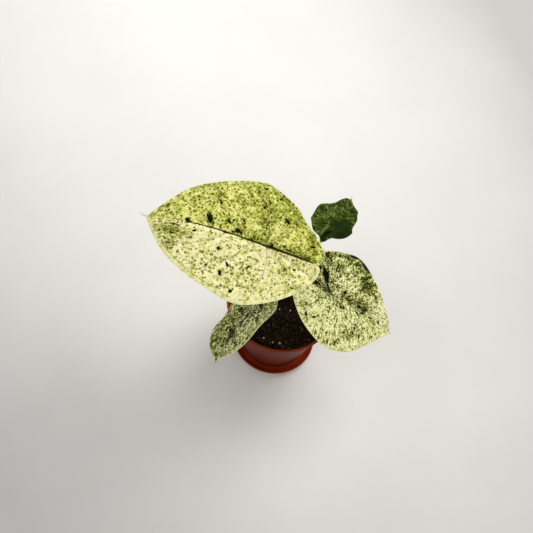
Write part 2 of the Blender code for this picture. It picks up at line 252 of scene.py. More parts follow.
def select_faces(piece, chosen):
    """Selects only the faces that chosen(centre, normal) picks, in object mode."""
    for group in (piece.data.vertices, piece.data.edges):
        group.foreach_set("select", [False] * len(group))
    for face in piece.data.polygons:
        face.select = bool(chosen(face.center, face.normal))


def drawn_up(name, rings, sides):
    """A round closed body, drawn up from a disc, ring by ring: each is (radius, height)."""
    radius, height = rings[0]
    bpy.ops.object.select_all(action="DESELECT")
    bpy.ops.mesh.primitive_circle_add(
        vertices=sides, radius=radius, fill_type="NGON", location=(0, 0, height)
    )
    body = bpy.context.object
    body.name = name
    bpy.ops.object.transform_apply(location=True, rotation=True, scale=True)
    bpy.ops.object.mode_set(mode="EDIT")
    bpy.ops.mesh.select_all(action="SELECT")
    for wide, tall in rings[1:]:
        bpy.ops.mesh.extrude_region_move(TRANSFORM_OT_translate={"value": (0.0, 0.0, tall - height)})
        growth = wide / radius
        bpy.ops.transform.resize(value=(growth, growth, 1.0), center_override=(0.0, 0.0, tall))
        radius, height = wide, tall
    bpy.ops.mesh.select_all(action="SELECT")
    bpy.ops.mesh.normals_make_consistent(inside=False)
    bpy.ops.object.mode_set(mode="OBJECT")
    return body


def alone(piece):
    """Makes a piece the only one selected."""
    bpy.ops.object.select_all(action="DESELECT")
    piece.select_set(True)
    bpy.context.view_layer.objects.active = piece


def apply_modifier(piece, kind, **settings):
    alone(piece)
    added = piece.modifiers.new(kind.title(), kind)
    for name, value in settings.items():
        setattr(added, name, value)
    bpy.ops.object.modifier_apply(modifier=added.name)


def softened(piece, width, angle=30.0):
    """Rounds a moulded body's edges and smooths what lies between them."""
    limit = math.radians(angle)
    apply_modifier(piece, "BEVEL", width=width, segments=3, limit_method="ANGLE", angle_limit=limit)
    alone(piece)
    bpy.ops.object.shade_smooth_by_angle(angle=math.radians(35.0))


def handed_in(piece, slot, *nodes, finish=None):
    """Gives a piece its finish, hangs it under the root body and hides the model's nodes that it replaces;
    slot is not used.
    """
    if finish:
        piece.data.materials.clear()
        piece.data.materials.append(finish)
    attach(piece, "root")
    if nodes:
        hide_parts(*nodes)


def plastic(name, deep, clear, sheen_roughness, lip_from, painted_lip_highlight):
    """Glossy moulded plastic: an even red with faint flow marks, dust, and a paler lip, a painted highlight
    where the rim's edge catches the light.
    """
    coat = Coat(name)
    place = coat.place()
    height = coat.split(place)[2]
    flow = coat.cloud(place, 26.0, 4.0, 0.55)
    dust = coat.cloud(place, 420.0, 3.0, 0.6)
    tone = coat.mix(flow.above(0.35, 0.68), deep, clear)
    tone = coat.mix(dust.above(0.66, 0.82) * 0.10, tone, tint(168, 132, 112))
    # Painted highlight: the top of the lip is painted paler, where its edge catches the light.
    tone = coat.mix(height.above(lip_from, lip_from + 0.0006), tone, painted_lip_highlight)
    rubbed = sheen_roughness + flow.above(0.3, 0.7) * 0.08 + dust.above(0.55, 0.8) * 0.10
    ripple = coat.cloud(place, 90.0, 2.0, 0.4) + coat.cloud(place, 900.0, 2.0, 0.5) * 0.12
    relief = coat.bump(ripple, 0.00012)
    return coat.finish(Base_Color=tone, Roughness=rubbed, Normal=relief, Specular_IOR_Level=0.07, IOR=1.4)


saucer_radius = 0.0486
saucer_height = 0.0080
saucer_foot_radius = 0.0430
saucer_wall = 0.0015
edge = saucer_wall / 2
saucer = drawn_up("saucer_dish", (
    (saucer_foot_radius, 0.0),
    (saucer_foot_radius + edge, edge),
    (saucer_radius, saucer_height - edge),
    (saucer_radius - edge, saucer_height),
    (saucer_radius - saucer_wall, saucer_height - edge),
    (saucer_foot_radius - saucer_wall, saucer_wall),
), 128)
softened(saucer, 0.0005)
saucer_finish = plastic(
    "saucer_red", tint(126, 42, 20), tint(146, 52, 26), 0.26, saucer_height - edge, tint(150, 60, 32)
)
handed_in(saucer, "saucer_plastic", "saucer", finish=saucer_finish)


# Nursery pot: thin brick-red plastic, injection moulded with a tapered wall, a small turned-out
# lip, a foot ring and six drain holes. It stands in the saucer.
seat_gap = 0.0003
rim_radius = 0.0600
rim_height = 0.1000
base_radius = 0.0372
pot_wall = 0.0015
lip_height = 0.0035
lip_stand = 0.0012
foot_height = 0.0025
foot_width = 0.0040
pot_bottom = saucer_wall + seat_gap
pot_floor = pot_bottom + foot_height + pot_wall
pot_taper = (rim_radius - lip_stand - base_radius) / (rim_height - pot_bottom)


def pot_inside(height):
    """The pot's inner radius at a height."""
    return base_radius + pot_taper * (height - pot_bottom) - pot_wall


rounding = lip_stand / 2
lip_bottom = rim_height - lip_height
pot = drawn_up("pot_shell", (
    (base_radius - foot_width, pot_bottom + foot_height),
    (base_radius - foot_width, pot_bottom),
    (base_radius, pot_bottom),
    (pot_inside(lip_bottom) + pot_wall, lip_bottom - rounding),
    (rim_radius - rounding / 2, lip_bottom),
    (rim_radius, rim_height - rounding),
    (rim_radius - rounding, rim_height),
    (pot_inside(rim_height) + rounding, rim_height),
    (pot_inside(rim_height - rounding), rim_height - rounding),
    (pot_inside(pot_floor), pot_floor),
), 160)
softened(pot, 0.00035)
drain_holes = 6
drain_radius = 0.0035
drain_circle = 0.022
for i in range(drain_holes):
    turn = i * math.tau / drain_holes
    spot = (drain_circle * math.cos(turn), drain_circle * math.sin(turn), pot_floor)
    bpy.ops.mesh.primitive_cylinder_add(vertices=32, radius=drain_radius, depth=0.02, location=spot)
    drill = bpy.context.object
    apply_modifier(pot, "BOOLEAN", object=drill, operation="DIFFERENCE", solver="EXACT")
    bpy.data.objects.remove(drill)
alone(pot)
bpy.ops.object.shade_smooth_by_angle(angle=math.radians(35.0))
pot_finish = plastic(
    "pot_red", tint(92, 32, 14), tint(106, 38, 18), 0.36, rim_height - 0.0013, tint(138, 54, 27)
)
handed_in(pot, "pot_plastic", "pot", finish=pot_finish)


# Potting soil: near-black peat with fibre, pressed by hand and crumbly on top. Loose crumbs,
# slivers of bark and a few pale grains of perlite lie on it, and it fills the pot to 6 mm
# below the lip, around the stem.
soil_level = rim_height - 0.0060
stem_spot = Vector((-0.003, 0.016, 0.0))
stem_radius = 0.0102
stem_buried = 0.0420
stem_bottom = soil_level - stem_buried
draw = np.random.default_rng(11)


def soil_height(x, y):
    """The soil's top at a place: soft mounds, clods and grit."""
    spot = Vector((x, y, 0.31))
    mound = noise.noise(spot * 60.0) * 0.0009
    clod = abs(noise.noise(spot * 240.0)) * 0.0017
    grit = noise.noise(spot * 620.0) * 0.0006 + noise.noise(spot * 1300.0) * 0.0003
    return soil_level - 0.0006 + mound + clod + grit


soil_floor = pot_floor + seat_gap
edge_radius = pot_inside(soil_level) - seat_gap
soil_sides = 192
soil_rings = 56
soil_low = soil_level - 0.0009
bed = drawn_up("soil_bed", (
    (pot_inside(soil_floor) - seat_gap, soil_floor),
    (edge_radius, soil_low),
), soil_sides)
select_faces(bed, lambda centre, normal: normal.z > 0.9 and centre.z > soil_floor)
bpy.ops.object.mode_set(mode="EDIT")
hole_radius = stem_radius + seat_gap
radius = edge_radius
middle = Vector((0.0, 0.0, soil_low))
for i in range(1, soil_rings + 1):
    share = 1 - i / soil_rings
    wanted = hole_radius + (edge_radius - hole_radius) * share
    centre = stem_spot * (1 - share)
    bpy.ops.mesh.extrude_region_move(
        TRANSFORM_OT_translate={"value": (centre.x - middle.x, centre.y - middle.y, 0.0)}
    )
    growth = wanted / radius
    bpy.ops.transform.resize(value=(growth, growth, 1.0), center_override=(centre.x, centre.y, 0.0))
    radius = wanted
    middle = centre
bpy.ops.mesh.extrude_region_move(
    TRANSFORM_OT_translate={"value": (0.0, 0.0, stem_bottom - seat_gap - soil_low)}
)
bpy.ops.object.mode_set(mode="OBJECT")
for point in bed.data.vertices:
    if point.co.z > soil_level - 0.002:
        point.co.z = soil_height(point.co.x, point.co.y)
bed.data.shade_smooth()

coat = Coat("peat")
place = coat.place()
patches = coat.cloud(place, 55.0, 4.0, 0.6)
grains = coat.cloud(place, 700.0, 4.0, 0.65)
fibres = coat.cloud(place, 1600.0, 2.0, 0.6)
coarse = coat.cloud(place, 330.0, 3.0, 0.6)
tone = coat.mix(grains.above(0.40, 0.62), tint(4, 3, 2), tint(46, 29, 19))
tone = coat.mix(coarse.above(0.52, 0.64) * 0.7, tone, tint(72, 50, 33))
tone = coat.mix(patches.above(0.45, 0.7) * 0.35, tone, tint(40, 34, 18))
tone = coat.mix(fibres.above(0.62, 0.72) * 0.7, tone, tint(104, 78, 52))
relief = coat.bump(grains + fibres * 0.4, 0.0009)
peat = coat.finish(Base_Color=tone, Roughness=0.95, Specular_IOR_Level=0.12, Normal=relief)
handed_in(bed, "soil", "soil", finish=peat)


def lump(radius, sides_cut, stretch, rough, seed):
    """One irregular grain around the origin, as a mesh."""
    bpy.ops.object.select_all(action="DESELECT")
    bpy.ops.mesh.primitive_ico_sphere_add(subdivisions=sides_cut, radius=radius)
    grain = bpy.context.object
    for point in grain.data.vertices:
        shift = noise.noise(point.co.normalized() * 1.7 + Vector((seed, 0.0, 0.0)))
        point.co *= 1.0 + rough * shift
        point.co.x *= stretch
    grain.data.shade_smooth()
    return grain


def scattered(name, kinds, spots):
    """Copies of a few grains, laid on the soil and joined: each spot is (x, y, size, kind)."""
    copies = []
    for x, y, size, kind in spots:
        mesh = kinds[kind].data.copy()
        turn = Matrix.Rotation(draw.uniform(0, math.tau), 4, "Z")
        turn = turn @ Matrix.Rotation(draw.uniform(-0.5, 0.5), 4, "X")
        lift = soil_height(x, y) + size * 0.25
        mesh.transform(Matrix.Translation((x, y, lift)) @ turn @ Matrix.Scale(size, 4))
        copies.append(linked(name, mesh))
    bpy.ops.object.select_all(action="DESELECT")
    for copy in copies:
        copy.select_set(True)
    bpy.context.view_layer.objects.active = copies[0]
    bpy.ops.object.join()
    for kind in kinds:
        bpy.data.objects.remove(kind)
    copies[0].name = name
    return copies[0]


def under_pixel(across, down, height):
    """The point at a height that the camera sees at a pixel of a 533 by 533 picture."""
    pixels = 533.0
    reach = camera.data.lens / camera.data.sensor_width * pixels
    ray = look * reach + right * (across - pixels / 2) + up * (pixels / 2 - down)
    return eye + ray * ((height - eye.z) / ray.z)


# Grains of perlite that stand out: where the camera sees each, in pixels, and its size
placed_grains = (
    (263.4, 338.0, 0.0013), (279.8, 343.2, 0.0012), (272.5, 342.5, 0.0007), (279.6, 309.0, 0.0009),
    (290.5, 310.5, 0.0008),
)
pale_spots = []
for i, (across, down, size) in enumerate(placed_grains):
    spot = under_pixel(across, down, soil_level)
    pale_spots.append((spot.x, spot.y, size, i % 3))


def soil_spots(count, small, large, kinds, clear=0.0018):
    """Random places on the open soil, with a size and a kind for each."""
    spots = []
    while len(spots) < count:
        turn = draw.uniform(0, math.tau)
        far = edge_radius * math.sqrt(draw.uniform(0, 1))
        size = small + (large - small) * draw.uniform(0, 1) ** 2.2
        kind = int(draw.integers(kinds))
        x, y = far * math.cos(turn), far * math.sin(turn)
        if far + size + clear > edge_radius:
            continue
        if math.hypot(x - stem_spot.x, y - stem_spot.y) < stem_radius + size + clear:
            continue
        if any(math.hypot(x - spot[0], y - spot[1]) < size + 0.0016 for spot in pale_spots):
            continue
        spots.append((x, y, size, kind))
    return spots


crumb_kinds = [lump(1.0, 1, 1.0 + 0.3 * i, 0.9, 3.0 * i) for i in range(4)]
crumbs = scattered("soil_crumbs", crumb_kinds, soil_spots(1500, 0.00045, 0.0023, 4))
handed_in(crumbs, "soil", finish=peat)


def grainy(name, scale, detail, spread, dark, pale, depth, **sockets):
    """A matte finish that varies from grain to grain."""
    coat = Coat(name)
    grain = coat.cloud(coat.place(), scale, detail, 0.6)
    if depth:
        sockets["Normal"] = coat.bump(grain, depth)
    return coat.finish(Base_Color=coat.mix(grain.above(*spread), dark, pale), **sockets)


bark = grainy("bark", 900.0, 3.0, (0.3, 0.7), tint(38, 24, 15), tint(120, 86, 54), 0.0004, Roughness=0.85)
bark_kinds = [lump(0.28, 1, 3.5 + 1.5 * i, 0.7, 20.0 + i) for i in range(3)]
slivers = scattered("bark_slivers", bark_kinds, soil_spots(130, 0.0007, 0.0022, 3, 0.003))
handed_in(slivers, "soil", finish=bark)

grit = grainy(
    "grit", 260.0, 2.0, (0.40, 0.60), tint(84, 70, 46), tint(190, 176, 130), 0.0,
    Roughness=0.9, Specular_IOR_Level=0.2,
)
grit_kinds = [lump(1.0, 1, 1.0 + 0.2 * i, 0.8, 60.0 + i) for i in range(3)]
grit_laid = scattered("soil_grit", grit_kinds, soil_spots(620, 0.00026, 0.00052, 3))
handed_in(grit_laid, "soil", finish=grit)

perlite = grainy(
    "perlite", 1500.0, 3.0, (0.35, 0.65), tint(172, 164, 142), tint(226, 220, 202), 0.0003, Roughness=0.9
)
pale_spots += soil_spots(22, 0.0003, 0.0007, 3)
perlite_kinds = [lump(1.0, 2, 1.0 + 0.15 * i, 0.8, 40.0 + i) for i in range(3)]
grains_laid = scattered("perlite_grains", perlite_kinds, pale_spots)
handed_in(grains_laid, "soil", finish=perlite)


# Stem: the crown of a short corm, brown and ringed with the scars of old leaves, mostly buried.
# Every leaf grows from it, and the stalks stand in its crown.
crown_radius = 0.0114
crown_top = soil_level + 0.0150
crown_dome = 0.0035
rings = [(stem_radius - 0.0050, stem_bottom), (stem_radius, stem_bottom + 0.0100)]
rings += [(stem_radius, height) for height in np.linspace(stem_bottom + 0.014, soil_level + 0.001, 14)]
scars = 22
for i in range(1, scars + 1):
    share = i / scars
    height = soil_level + 0.001 + (crown_top - 0.0045 - soil_level) * share
    swell = math.sin(math.pi * min(1.0, share * 0.6 + 0.05))
    ridge = 0.00035 * (1 if i % 3 == 0 else -1 if i % 3 == 1 else 0)
    rings.append((stem_radius + (crown_radius - stem_radius) * swell + ridge, height))
rings += [
    (crown_radius - 0.0012, crown_top - 0.0026),
    (0.0088, crown_top - 0.0008),
    (0.0075, crown_top + 0.0005),
    (0.0035, crown_top + 0.0030),
    (0.0012, crown_top + crown_dome),
]
stem = drawn_up("stem_crown", rings, 96)
for point in stem.data.vertices:
    around = Vector((point.co.x, point.co.y, 0.0))
    if point.co.z > soil_level - 0.004 and around.length > 0.002:
        lumps = noise.noise(point.co * 190.0) * 0.0005 + noise.noise(point.co * 520.0) * 0.00025
        point.co += around.normalized() * (lumps - 0.0002)
    point.co += stem_spot
stem.data.shade_smooth()
coat = Coat("corm_skin")
place = coat.place()
x, y, z = coat.split(place)
bands = coat.cloud(coat.joined(x * 0.35, y * 0.35, z), 900.0, 3.0, 0.6)
blots = coat.cloud(place, 180.0, 4.0, 0.6)
tone = coat.mix(bands.above(0.35, 0.65), tint(70, 52, 30), tint(134, 112, 68))
tone = coat.mix(blots.above(0.5, 0.72) * 0.6, tone, tint(122, 128, 70))
corm_skin = coat.finish(Base_Color=tone, Roughness=0.8, Normal=coat.bump(bands + blots * 0.5, 0.0005))
handed_in(stem, "corm", "stem", finish=corm_skin)


# Leaf stalks: fleshy, pale green and mottled, thicker at the foot, where a sheath wraps them, and
# grooved on the side that faces the blade. Each meets the underside of its blade near the notch.
socket_circle_radius = 0.0061
socket_depth = 0.0070
neck_rise = 0.0020
upright_share = 0.38
turn_in_length = 0.0060
end_points = 7
climb_points = 71
blade_thickness = 0.0009
rib_depth = 0.0015

# Each leaf, in metres and degrees, with its margins and the starts of its ribs in millimetres.
# junction: where the stalk meets the blade. heading: way the midrib points, from +X.
# pitch: how far the tip points down there. roll: how far the left half is lifted.
# left, right: the margins from the drip tip round to the notch, as (along the midrib, out).
# tip_droop, base_droop: how far the midrib has bent down by each end.
# sweep: its bend sideways. hook, tip_lift: how far the drip tip turns to the left and up.
# fold: how far both halves rise from the midrib. arch: how fast they curve back down.
# wave, waves: height and number of the margin's waves. stalk_angle: where the stalk stands in the
# crown. stalk_radii: at its foot and its top. stalk_approach: the way it comes in to the blade.
# ribs: rows from tip to stalk, as (start on the midrib, where it meets each margin, counted in
# outline points from the tip on the left and the right, and the halves where it is a vein).
# back_rib: where the vein that fans back meets the margins. rows_per_metre, across: the mesh.
leaves = (
    dict(
        junction=(-0.0267, -0.0096, 0.2250), heading=175.7, pitch=-14.1, roll=-6.9,
        left=(
            (125, 0), (117, 1.2), (110, 11.5), (92, 33.5), (66, 51.5), (36, 62), (10, 65.5), (-16, 54.5),
            (-38, 38.5), (-53, 20), (-57, 8), (-55.5, 2), (-52, 0),
        ),
        right=(
            (125, 0), (117, 1.4), (110, 10), (88, 33), (59, 50.5), (25, 63), (8, 64), (-15, 54),
            (-39, 34), (-55, 19), (-58, 9), (-55.5, 2), (-52, 0),
        ),
        tip_droop=37.0, base_droop=5.0, sweep=0.43, hook=-0.0045, fold=5.0,
        arch=3.0, wave=0.0008, waves=9,
        stalk_angle=150, stalk_radii=(0.0036, 0.0024), stalk_approach=(-0.010, -0.028, 0.036),
        ribs=((125, 0.0, 0.0, ""), (114, 1.0, 1.0, ""), (86, 2.00, 1.95, "LR"),
              (55, 2.45, 2.65, "R"), (38, 2.80, 3.15, "L"), (20, 3.60, 3.70, "R"),
              (14, 4.00, 3.95, "L"), (0, 6.20, 4.90, "LR")),
        back_rib=(9.10, 7.60),
        rows_per_metre=1000, across=56,
    ),
    dict(
        junction=(0.0456, -0.0117, 0.1600), heading=-6.9, pitch=32.7, roll=11.0,
        left=(
            (99, 0), (92.5, 1.5), (84, 11), (72, 22), (47, 41), (18, 52), (0, 48.5), (-23, 38), (-38, 26),
            (-46, 13), (-46.5, 6), (-44, 1.5), (-40, 0),
        ),
        right=(
            (99, 0), (92.5, 1.5), (84, 10.5), (62, 32), (44, 47), (21, 53.5), (-3, 50.5), (-27, 37.5),
            (-40, 24.5), (-46.5, 13), (-46.5, 6), (-44, 1.5), (-40, 0),
        ),
        tip_droop=14.4, base_droop=5.4, sweep=0.22, hook=0.0, fold=5.0,
        arch=3.0, wave=0.0008, waves=7,
        stalk_angle=330, stalk_radii=(0.0034, 0.0022), stalk_approach=(0.032, -0.010, 0.018),
        ribs=((99, 0.0, 0.0, ""), (90, 1.0, 1.0, ""), (64, 2.20, 2.10, "LR"),
              (42, 3.10, 2.80, "LR"), (18, 4.10, 3.80, "LR"), (0, 5.30, 5.10, "LR")),
        back_rib=(7.80, 7.60),
        rows_per_metre=1000, across=46,
    ),
    dict(
        junction=(-0.0349, -0.0353, 0.1450), heading=246.5, pitch=9.3, roll=51.6,
        left=(
            (72, 0), (65.5, 1.5), (60, 12), (54, 25.5), (43, 34), (24, 42), (2, 49.5), (-11, 44),
            (-23, 33.5), (-33, 19.5), (-37, 8.5), (-35.5, 2), (-32, 0),
        ),
        right=(
            (72, 0), (65.5, 1.5), (61, 10), (52, 26.5), (35, 38.5), (20, 37), (3, 37.5), (-11, 34.5),
            (-23, 28), (-33, 18), (-37, 8.5), (-35.5, 2), (-32, 0),
        ),
        tip_droop=17.0, base_droop=6.8, sweep=0.0, hook=0.0, fold=5.0,
        arch=6.0, wave=0.0010, waves=6,
        stalk_angle=240, stalk_radii=(0.0030, 0.0019), stalk_approach=(-0.023, -0.021, 0.017),
        ribs=((72, 0.0, 0.0, ""), (64, 1.0, 1.0, ""), (44, 2.60, 2.50, "LR"),
              (22, 4.00, 3.70, "LR"), (0, 5.60, 5.20, "LR")),
        back_rib=(8.00, 7.80),
        rows_per_metre=1000, across=38,
    ),
    dict(
        junction=(0.0342, 0.0595, 0.1750), heading=60.5, pitch=4.1, roll=-3.7,
        left=(
            (50, 0), (45, 1.4), (41, 8), (35, 11.5), (30, 13.5), (26, 18.5), (20, 22.5), (8, 24),
            (-4, 22), (-11, 17), (-17, 9), (-19.5, 4), (-18.5, 0),
        ),
        right=(
            (50, 0), (45, 1.4), (42, 6), (38, 13), (28, 17.5), (21, 21.5), (13, 22.5), (5, 26.5),
            (-4, 25), (-10, 16.5), (-16, 13), (-22, 8), (-18.5, 0),
        ),
        tip_droop=18.0, base_droop=3.3, sweep=0.0, hook=0.0050, fold=5.0, tip_lift=0.0065,
        arch=3.0, wave=0.0024, waves=7,
        stalk_angle=60, stalk_radii=(0.0028, 0.0017), stalk_approach=(0.010, 0.020, 0.028),
        ribs=((50, 0.0, 0.0, ""), (44, 1.0, 1.0, ""), (29, 2.60, 2.60, "LR"),
              (14, 4.70, 4.50, "LR"), (0, 6.60, 6.20, "LR")),
        back_rib=(8.60, 8.40),
        rows_per_metre=1500, across=30,
    ),
)
for leaf in leaves:
    for half in ("left", "right"):
        leaf[half] = [(along / 1000, out / 1000) for along, out in leaf[half]]
notch_count = 12.0


def leaf_turn(leaf):
    return (
        Matrix.Rotation(math.radians(leaf["heading"]), 3, "Z")
        @ Matrix.Rotation(math.radians(leaf["pitch"]), 3, "Y")
        @ Matrix.Rotation(math.radians(leaf["roll"]), 3, "X")
    )


def bezier(start, leaving, arriving, end, shares):
    """Points along one curve with handles."""
    s = shares[:, None]
    return (
        (1 - s) ** 3 * np.array(start)
        + 3 * (1 - s) ** 2 * s * np.array(leaving)
        + 3 * (1 - s) * s**2 * np.array(arriving)
        + s**3 * np.array(end)
    )


def stalk_line(leaf):
    """The stalk's middle line from its socket to the blade, and its radius along it."""
    turn = leaf_turn(leaf)
    angle = math.radians(leaf["stalk_angle"])
    foot = stem_spot + Vector((math.cos(angle), math.sin(angle), 0.0)) * socket_circle_radius
    foot.z = crown_top - socket_depth
    neck = foot + Vector((0.0, 0.0, socket_depth + neck_rise))
    under = blade_thickness / 2 + rib_depth + seat_gap
    top = Vector(leaf["junction"]) - turn @ Vector((0.0, 0.0, under))
    turn_in = turn @ Vector((0.0, 0.0, turn_in_length))
    near = top - turn_in
    rise = Vector((0.0, 0.0, upright_share * (top - neck).length))
    approach = Vector(leaf["stalk_approach"])
    climb = np.linspace(0, 1, climb_points + 1)[:-1]
    foot_part = bezier(foot, foot, neck, neck, np.linspace(0, 1, end_points + 1)[:-1])
    sweep = bezier(neck, neck + rise, near - approach, near, climb)
    last = bezier(near, near + turn_in / 3, top - turn_in / 3, top, np.linspace(0, 1, end_points))
    line = np.vstack((foot_part, sweep, last))
    thick, thin = leaf["stalk_radii"]
    share = np.concatenate((np.zeros(end_points), climb, np.ones(end_points)))
    return line, thick + (thin - thick) * share


def stalk_mesh(name, leaf, sides=28):
    """Rings of points around the stalk's line, with a groove and a sheath that opens at the foot."""
    line, radii = stalk_line(leaf)
    steps = np.linalg.norm(np.diff(line, axis=0), axis=1)
    distance = np.concatenate(((0.0,), np.cumsum(steps)))
    tangents = np.gradient(line, axis=0)
    tangents /= np.linalg.norm(tangents, axis=1)[:, None]
    outward = Vector(line[0]) - stem_spot
    facing = -Vector((outward.x, outward.y, 0.0)).normalized()
    points = []
    around = np.arange(sides) * math.tau / sides
    off = np.minimum(around, math.tau - around)
    for k, (spot, along) in enumerate(zip(line, tangents)):
        along = Vector(along)
        facing = (facing - along * facing.dot(along)).normalized()
        beside = along.cross(facing)
        sheath = math.exp(-(distance[k] / 0.030) ** 2)
        groove = 0.20 + 0.16 * sheath
        shape = 1.0 - groove * np.exp(-(off / 0.42) ** 2)
        shape = shape + 0.12 * sheath * np.exp(-((off - 0.95) / 0.40) ** 2)
        shape = shape * (1.0 + 0.035 * sheath)
        for angle, reach in zip(around, radii[k] * shape):
            points.append(Vector(spot) + (facing * math.cos(angle) + beside * math.sin(angle)) * reach)
    rows = len(line)
    faces = [
        (k * sides + j, k * sides + (j + 1) % sides, (k + 1) * sides + (j + 1) % sides, (k + 1) * sides + j)
        for k in range(rows - 1) for j in range(sides)
    ]
    faces.append(tuple(range(sides))[::-1])
    faces.append(tuple(range((rows - 1) * sides, rows * sides)))
    mesh = bpy.data.meshes.new(name)
    mesh.from_pydata(points, [], faces)
    along = mesh.attributes.new("along", "FLOAT_VECTOR", "POINT")
    values = np.zeros((rows, sides, 3))
    values[:, :, 0] = distance[:, None] * 1000
    values[:, :, 1] = np.where(off < 1.2, off, 1.2)[None, :]
    values[:, :, 2] = 1 - distance[:, None] / distance[-1]
    along.data.foreach_set("vector", values.astype(np.float32).ravel())
    mesh.shade_smooth()
    return linked(name, mesh)


coat = Coat("stalk_skin")
place = coat.place()
run, off_groove, low = coat.split(coat.written("along"))
x, y, z = coat.split(place)
streaks = coat.cloud(coat.joined(x, y, z * 0.22), 620.0, 3.0, 0.55)
flecks = coat.cloud(coat.joined(x, y, z * 0.5), 1400.0, 2.0, 0.5)
tone = coat.mix(streaks.above(0.34, 0.66), tint(148, 158, 86), tint(196, 200, 128))
tone = coat.mix(flecks.above(0.58, 0.70) * 0.75, tone, tint(84, 104, 44))
tone = coat.mix(low ** 3.0 * 0.7, tone, tint(206, 196, 150))
# Painted shade: the groove is painted a darker green.
tone = coat.mix(off_groove.below(0.0, 0.55) * 0.35, tone, tint(96, 112, 54))
stalk_skin = coat.finish(
    Base_Color=tone, Roughness=0.42 + flecks * 0.12, Normal=coat.bump(streaks + flecks * 0.4, 0.0003)
)
for i, leaf in enumerate(leaves):
    stalk = stalk_mesh(f"stalk_{i + 1}", leaf)
    handed_in(stalk, "stalk", f"petiole_{i + 1}", finish=stalk_skin)


# Leaf blades: thin, smooth and a little leathery, heart-shaped with a drip tip. Veins run from
# the stalk and the midrib to a vein just inside the margin. Three blades are cream, splashed with
# green, and the youngest is dark green.
crease_width = 0.0015
drip_length = 0.0120


def margin(corners, side, count):
    """The margin at a count of outline points from the drip tip, on a curve through them."""
    line = np.array(corners, float) * (1.0, side)
    padded = np.vstack((line[0], line, line[-1]))
    first = np.clip(np.floor(count).astype(int), 0, len(line) - 2)
    share = (count - first)[:, None]
    before, start, end, after = (padded[first + k] for k in range(4))
    return 0.5 * (
        2 * start
        + (end - before) * share
        + (2 * before - 5 * start + 4 * end - after) * share**2
        + (3 * start - before - 3 * end + after) * share**3
    )


def bent(leaf, flat, ring_share):
    """Bends flat points (along, across) into the blade's middle surface, around its junction."""
    along = flat[:, 0]
    across = flat[:, 1]
    angle = np.arctan2(across, along)
    reach = np.where(along >= 0, leaf["left"][0][0], -leaf["left"][-1][0])
    droop = np.radians(np.where(along >= 0, leaf["tip_droop"], leaf["base_droop"]))
    distance = np.abs(along)
    shares = (np.arange(24) + 0.5) / 24
    slopes = droop[:, None] * (distance[:, None] * shares / reach[:, None]) ** 2
    forward = np.sign(along) * distance * np.cos(slopes).mean(axis=1)
    drop = distance * np.sin(slopes).mean(axis=1)
    end_slope = droop * (distance / reach) ** 2
    off = np.abs(across)
    out = np.sqrt(across**2 + crease_width**2) - crease_width
    beside = off - crease_width * (1 - np.exp(-off / (4 * crease_width)))
    fold = math.radians(leaf["fold"])
    lean = fold - leaf["arch"] * out
    sideways = (np.sin(fold) - np.sin(lean)) / leaf["arch"] + beside - out
    rise = (np.cos(lean) - np.cos(fold)) / leaf["arch"]
    rise = rise + leaf["wave"] * ring_share**3 * np.sin(leaf["waves"] * angle)
    into_tip = np.clip(along - leaf["left"][0][0] + drip_length, 0, None) / drip_length
    points = np.empty((len(flat), 3))
    points[:, 0] = forward + rise * np.sign(along) * np.sin(end_slope)
    points[:, 1] = np.sign(across) * sideways + leaf["sweep"] * along * distance
    points[:, 1] += leaf["hook"] * into_tip**2
    points[:, 2] = rise * np.cos(end_slope) - drop + leaf.get("tip_lift", 0.0) * into_tip**2
    return points


def eased(count):
    """Shares from 0 to 1, closer together at both ends."""
    return 0.5 - 0.5 * np.cos(np.linspace(0, math.pi, count + 1))[:-1]


def rib_rows(leaf):
    """Start on the midrib and place on each margin, for every row, and which rows are veins."""
    starts, lefts, rights, veins = [], [], [], {"L": [], "R": []}
    knots = [*leaf["ribs"], (0.0, *leaf["back_rib"], "LR"), (0.0, notch_count, notch_count, "")]
    for k in range(len(knots) - 1):
        start, left, right_count, halves = knots[k]
        next_start, next_left, next_right, _ = knots[k + 1]
        for half in halves:
            veins[half].append(len(starts))
        if k == len(leaf["ribs"]) - 1:
            junction_row = len(starts)
        ends = margin(leaf["left"], 1, np.linspace(left, next_left, 20))
        length = np.linalg.norm(np.diff(ends, axis=0), axis=1).sum()
        shares = eased(max(6, round(length * leaf["rows_per_metre"])))
        starts += list(start + (next_start - start) * shares)
        lefts += list(left + (next_left - left) * shares)
        rights += list(right_count + (next_right - right_count) * shares)
    starts.append(0.0)
    lefts.append(notch_count)
    rights.append(notch_count)
    return np.array(starts) / 1000, np.array(lefts), np.array(rights), veins, junction_row


def near_line(points, line):
    """Each point's distance from a polyline."""
    best = np.full(len(points), np.inf)
    for a, b in zip(line, line[1:]):
        span = b - a
        size = max(float(span @ span), 1e-16)
        share = np.clip((points - a) @ span / size, 0, 1)
        best = np.minimum(best, np.linalg.norm(points - a - share[:, None] * span, axis=1))
    return best


def soft_patches(points, patches):
    """How strongly soft ovals, as (x, y, half length, half width, turn, strength), cover points."""
    cover = np.zeros(len(points))
    for x, y, long, wide, turned, strength in patches:
        turned = math.radians(turned)
        along = ((points[:, 0] - x) * math.cos(turned) + (points[:, 1] - y) * math.sin(turned)) / long
        beside = ((points[:, 1] - y) * math.cos(turned) - (points[:, 0] - x) * math.sin(turned)) / wide
        patch = strength * np.exp(-0.9 * (along**2 + beside**2) ** 1.3)
        cover = np.maximum(cover, patch) if strength > 0 else cover + patch
    return cover


